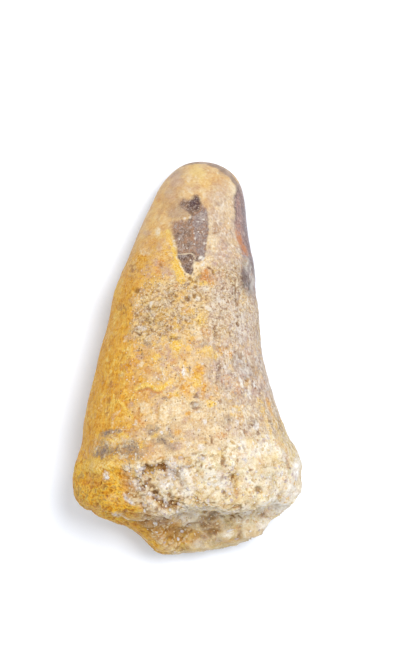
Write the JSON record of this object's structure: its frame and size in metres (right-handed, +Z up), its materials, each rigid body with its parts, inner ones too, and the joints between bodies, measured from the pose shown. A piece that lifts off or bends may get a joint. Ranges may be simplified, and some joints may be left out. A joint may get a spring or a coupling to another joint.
{
  "type": "fossil crocodile tooth",
  "caption": "Blunt conical fossil tooth with a worn tip, ochre sides and a broken, sand-crusted root end, lying on its side.",
  "frame": {"origin": "middle of the outline on the surface that the tooth rests on", "axes": "+Z up, +Y along the tooth towards its tip, +X to its right when it is seen from above with the tip away"},
  "size_m": [0.0234, 0.0404, 0.0186],
  "materials": {
    "fossil": "worn ochre dentine with a few patches of dark glossy enamel, dull and sandy at the root"
  },
  "bodies": {
    "root": {"tooth": "fossil"}
  },
  "joints": []
}
